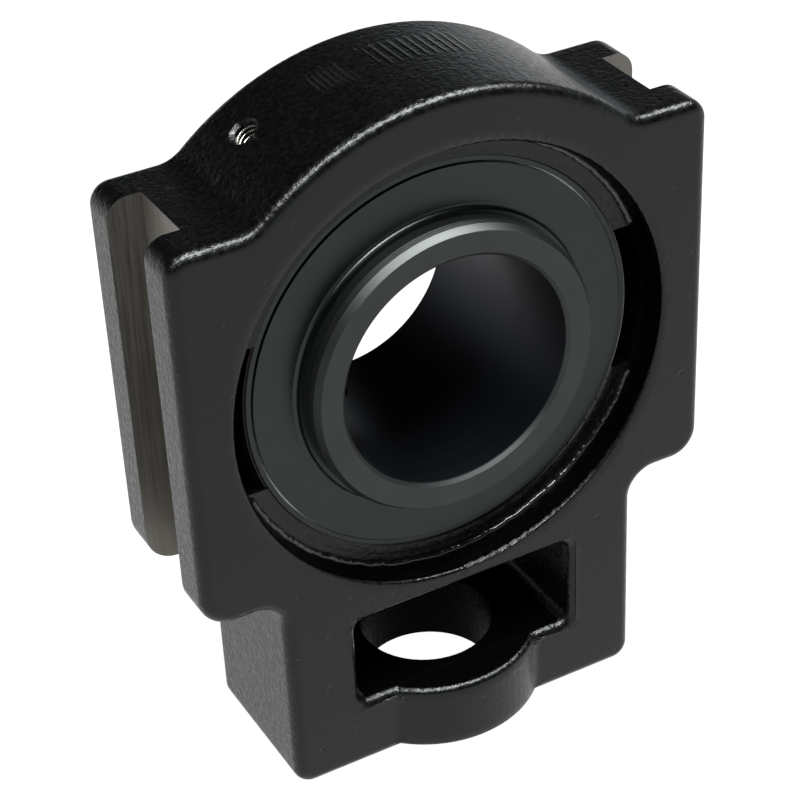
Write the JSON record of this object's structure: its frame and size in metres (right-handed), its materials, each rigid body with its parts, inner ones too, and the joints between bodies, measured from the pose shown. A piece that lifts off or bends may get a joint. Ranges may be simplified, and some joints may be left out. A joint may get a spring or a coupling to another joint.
{
  "type": "take-up bearing unit",
  "caption": "Cast take-up housing with guide grooves, nut window and adjusting screw hole, holding a self-aligning insert ball bearing for a shaft.",
  "frame": {"origin": "centre of the bearing, on the shaft's axis in the middle plane of the ball row", "axes": "+X from ear to ear, +Y along the shaft towards the bearing's locking side, +Z away from the adjusting screw"},
  "size_m": [0.117, 0.0573, 0.1495],
  "materials": {
    "cast_housing": "black satin-gloss paint over sand-cast iron, with bare machined grooves, seat and screw hole",
    "bearing_steel_dark": "ground bearing steel with a thin black oxide",
    "ball_steel": "polished ball steel",
    "cage_steel": "pressed sheet steel",
    "seal_steel": "pressed sheet steel",
    "seal_rubber": "black nitrile rubber",
    "flinger_steel": "smooth pressed sheet steel, dark blue-grey oxide",
    "screw_steel": "black oxide alloy steel"
  },
  "bodies": {
    "housing": {"housing": "cast_housing"},
    "outer_ring": {"outer_ring": "bearing_steel_dark", "front_seal_core": "seal_steel", "front_seal_lip": "seal_rubber", "rear_seal_core": "seal_steel", "rear_seal_lip": "seal_rubber"},
    "inner_ring": {"inner_ring": "bearing_steel_dark", "front_flinger": "flinger_steel", "rear_flinger": "flinger_steel"},
    "ball_cage": {"ball_01": "ball_steel", "ball_02": "ball_steel", "ball_03": "ball_steel", "ball_04": "ball_steel", "ball_05": "ball_steel", "ball_06": "ball_steel", "ball_07": "ball_steel", "ball_08": "ball_steel", "ball_09": "ball_steel", "ball_10": "ball_steel", "cage_front": "cage_steel", "cage_rear": "cage_steel", "cage_rivets": "cage_steel"},
    "set_screw_1": {"set_screw_1": "screw_steel"},
    "set_screw_2": {"set_screw_2": "screw_steel"}
  },
  "joints": [
    {"name": "self_align_tilt", "type": "hinge", "parent": "housing", "child": "outer_ring", "pos_m": [0, 0, 0], "axis": [1, 0, 0], "range_deg": [-3, 3]},
    {"name": "shaft_spin", "type": "hinge", "parent": "outer_ring", "child": "inner_ring", "pos_m": [0, 0, 0], "axis": [0, 1, 0], "continuous": true},
    {"name": "ball_row_roll", "type": "hinge", "parent": "outer_ring", "child": "ball_cage", "pos_m": [0, 0, 0], "axis": [0, 1, 0], "continuous": true},
    {"name": "set_screw_1_feed", "type": "slide", "parent": "inner_ring", "child": "set_screw_1", "axis": [0.9903, 0, 0.1392], "range_m": [-0.0025, 0.002]},
    {"name": "set_screw_2_feed", "type": "slide", "parent": "inner_ring", "child": "set_screw_2", "axis": [-0.3746, 0, -0.9272], "range_m": [-0.0025, 0.002]}
  ],
  "couplings": [
    {"joint": "ball_row_roll", "follows": "shaft_spin", "ratio": 0.40929}
  ]
}
